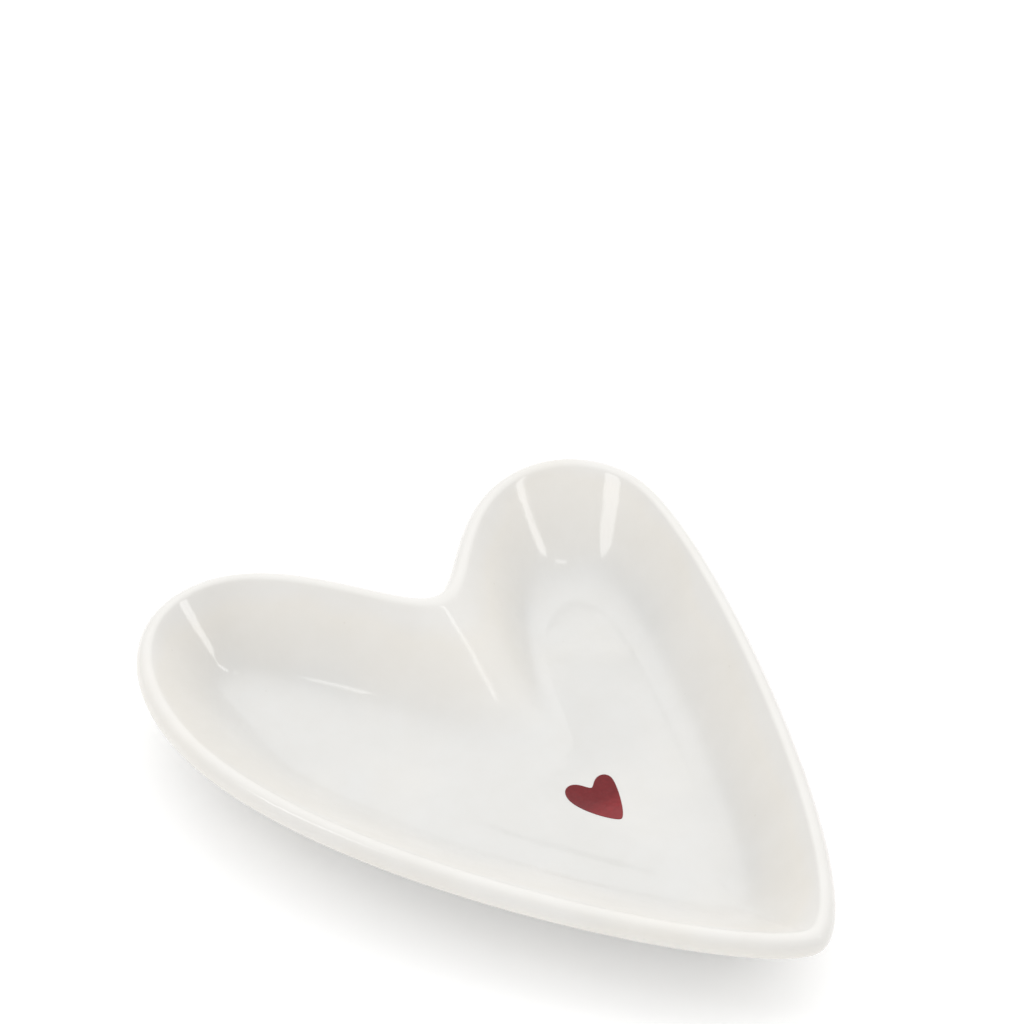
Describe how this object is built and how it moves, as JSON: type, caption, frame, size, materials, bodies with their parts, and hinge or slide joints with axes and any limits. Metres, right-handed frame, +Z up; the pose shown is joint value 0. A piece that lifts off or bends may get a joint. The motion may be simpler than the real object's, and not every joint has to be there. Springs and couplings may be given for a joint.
{
  "type": "heart-shaped trinket dish",
  "caption": "Shallow glazed ceramic trinket dish in a lopsided heart outline, with a rounded rim, a bare foot ring and a small printed heart on the floor.",
  "frame": {"origin": "under the middle of the outline's bounding box, on the plane that the foot ring stands on", "axes": "+Y from the tip towards the lobes, +X towards the smaller lobe, +Z up, out of the bowl"},
  "size_m": [0.113, 0.14, 0.0175],
  "materials": {
    "clay": "unglazed, fine matt",
    "glaze": "gloss",
    "print": "gloss"
  },
  "bodies": {
    "root": {"ceramic_body": "clay", "main_glaze": "glaze", "base_glaze": "glaze", "heart_print": "print"}
  },
  "joints": []
}
